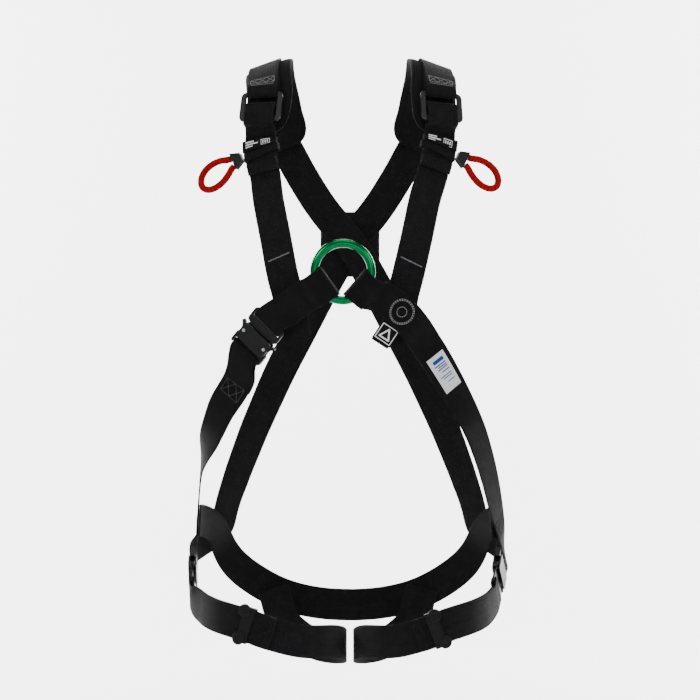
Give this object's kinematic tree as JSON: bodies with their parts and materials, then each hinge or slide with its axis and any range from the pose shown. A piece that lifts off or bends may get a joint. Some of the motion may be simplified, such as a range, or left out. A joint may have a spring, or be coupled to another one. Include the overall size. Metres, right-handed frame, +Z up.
{
  "type": "full-body climbing harness",
  "caption": "Full-body harness of black webbing with padded shoulders, a round front attachment ring, quick-connect buckles, leg loops, parking loops and a dorsal D-ring.",
  "frame": {"origin": "middle of the line across the wearer's shoulders", "axes": "+Z up, the wearer faces -Y, +X is the wearer's left"},
  "size_m": [0.426, 0.2944, 0.8052],
  "materials": {
    "webbing": "matte woven",
    "pad": "matte",
    "black_metal": "satin",
    "steel": "satin",
    "green_metal": "anodised green",
    "red_cord": "braided",
    "plastic": "matte",
    "label": "printed"
  },
  "bodies": {
    "harness": {"adjuster_frame_left": "black_metal", "adjuster_frame_right": "black_metal", "adjuster_slide_bar_left": "black_metal", "adjuster_slide_bar_right": "black_metal", "attachment_tag": "label", "chest_band_right": "webbing", "chest_strap_left": "webbing", "chest_tongue": "black_metal", "dorsal_plate": "plastic", "front_strap_left": "webbing", "front_strap_right": "webbing", "hip_left_receiver_base": "black_metal", "hip_left_receiver_cover": "black_metal", "hip_left_receiver_yoke": "black_metal", "hip_left_rivet_a": "steel", "hip_left_rivet_b": "steel", "hip_left_webbing_bar": "black_metal", "hip_right_receiver_base": "black_metal", "hip_right_receiver_cover": "black_metal", "hip_right_receiver_yoke": "black_metal", "hip_right_rivet_a": "steel", "hip_right_rivet_b": "steel", "hip_right_webbing_bar": "black_metal", "leg_strap_left": "webbing", "leg_strap_right": "webbing", "maker_label": "label", "parking_loop_band_left": "webbing", "parking_loop_band_right": "webbing", "printed_keeper_left": "webbing", "printed_keeper_right": "webbing", "seat_strap": "webbing", "shoulder_pad_left": "pad", "shoulder_pad_right": "pad", "side_strap_right": "webbing", "yoke_strap_left": "webbing", "yoke_strap_right": "webbing"},
    "sternal_ring": {"sternal_ring": "green_metal"},
    "chest_receiver": {"chest_receiver_base": "black_metal", "chest_receiver_cover": "black_metal", "chest_receiver_yoke": "black_metal", "chest_webbing_bar": "black_metal", "chest_rivet_a": "steel", "chest_rivet_b": "steel"},
    "chest_lever_a": {"chest_lever_a": "steel"},
    "chest_lever_b": {"chest_lever_b": "steel"},
    "hip_right_tongue": {"hip_right_tongue": "black_metal"},
    "hip_right_lever_a": {"hip_right_lever_a": "steel"},
    "hip_right_lever_b": {"hip_right_lever_b": "steel"},
    "parking_loop_right": {"parking_loop_right": "red_cord", "parking_loop_collar_right": "plastic"},
    "leg_keeper_right": {"leg_keeper_right": "plastic"},
    "hip_left_tongue": {"hip_left_tongue": "black_metal"},
    "hip_left_lever_a": {"hip_left_lever_a": "steel"},
    "hip_left_lever_b": {"hip_left_lever_b": "steel"},
    "parking_loop_left": {"parking_loop_left": "red_cord", "parking_loop_collar_left": "plastic"},
    "leg_keeper_left": {"leg_keeper_left": "plastic"},
    "dorsal_ring": {"dorsal_ring": "steel"}
  },
  "joints": [
    {"name": "sternal_ring_tilt", "type": "hinge", "parent": "harness", "child": "sternal_ring", "pos_m": [-0.00916, -0.13978, -0.30942], "axis": [1, 0, 0], "range_deg": [0, 40], "deforming": ["chest_band_right", "chest_strap_left"]},
    {"name": "chest_buckle_open", "type": "slide", "parent": "harness", "child": "chest_receiver", "axis": [-0.5782, 0.3797, -0.7221], "range_m": [0, 0.017], "deforming": ["side_strap_right"]},
    {"name": "chest_lever_a_pull", "type": "hinge", "parent": "chest_receiver", "child": "chest_lever_a", "pos_m": [-0.13486, -0.09845, -0.35914], "axis": [-0.4292, -0.8943, -0.1266], "range_deg": [0, 12], "stiffness_Nm_per_rad": 0.03, "springref_deg": -5.73},
    {"name": "chest_lever_b_pull", "type": "hinge", "parent": "chest_receiver", "child": "chest_lever_b", "pos_m": [-0.10919, -0.1072, -0.3843], "axis": [-0.4292, -0.8943, -0.1266], "range_deg": [-12, 0], "stiffness_Nm_per_rad": 0.03, "springref_deg": 5.73},
    {"name": "hip_right_buckle_open", "type": "slide", "parent": "harness", "child": "hip_right_tongue", "axis": [0, -0.7071, -0.7071], "range_m": [0, 0.017], "deforming": ["leg_strap_right"]},
    {"name": "hip_right_lever_a_pull", "type": "hinge", "parent": "harness", "child": "hip_right_lever_a", "pos_m": [-0.20848, 0.01111, -0.66773], "axis": [-1, 0, 0], "range_deg": [0, 12], "stiffness_Nm_per_rad": 0.03, "springref_deg": -5.73},
    {"name": "hip_right_lever_b_pull", "type": "hinge", "parent": "harness", "child": "hip_right_lever_b", "pos_m": [-0.20848, 0.03727, -0.69389], "axis": [-1, 0, 0], "range_deg": [-12, 0], "stiffness_Nm_per_rad": 0.03, "springref_deg": 5.73},
    {"name": "parking_loop_right_swing", "type": "hinge", "parent": "harness", "child": "parking_loop_right", "pos_m": [-0.139, -0.08507, -0.13475], "axis": [0.3768, -0.3804, -0.8446], "range_deg": [-25, 25]},
    {"name": "leg_keeper_right_slip", "type": "hinge", "parent": "harness", "child": "leg_keeper_right", "pos_m": [-0.09644, -0.00997, -0.73974], "axis": [-0.2585, 0.0968, -0.9611], "range_deg": [-4, 4]},
    {"name": "hip_left_buckle_open", "type": "slide", "parent": "harness", "child": "hip_left_tongue", "axis": [-0.1689, -0.6755, -0.7177], "range_m": [0, 0.017], "deforming": ["leg_strap_left"]},
    {"name": "hip_left_lever_a_pull", "type": "hinge", "parent": "harness", "child": "hip_left_lever_a", "pos_m": [0.20145, 0.03715, -0.69355], "axis": [0.9701, -0.2425, 0], "range_deg": [0, 12], "stiffness_Nm_per_rad": 0.03, "springref_deg": -5.73},
    {"name": "hip_left_lever_b_pull", "type": "hinge", "parent": "harness", "child": "hip_left_lever_b", "pos_m": [0.19501, 0.01139, -0.66779], "axis": [0.9701, -0.2425, 0], "range_deg": [-12, 0], "stiffness_Nm_per_rad": 0.03, "springref_deg": 5.73},
    {"name": "parking_loop_left_swing", "type": "hinge", "parent": "harness", "child": "parking_loop_left", "pos_m": [0.13817, -0.08517, -0.13284], "axis": [0.3878, 0.3783, 0.8405], "range_deg": [-25, 25]},
    {"name": "leg_keeper_left_slip", "type": "hinge", "parent": "harness", "child": "leg_keeper_left", "pos_m": [0.09122, -0.00942, -0.74559], "axis": [-0.3836, -0.0702, 0.9208], "range_deg": [-4, 4]},
    {"name": "dorsal_ring_flip", "type": "hinge", "parent": "harness", "child": "dorsal_ring", "pos_m": [0, 0.13962, -0.214], "axis": [1, 0, 0], "range_deg": [0, 150]}
  ]
}
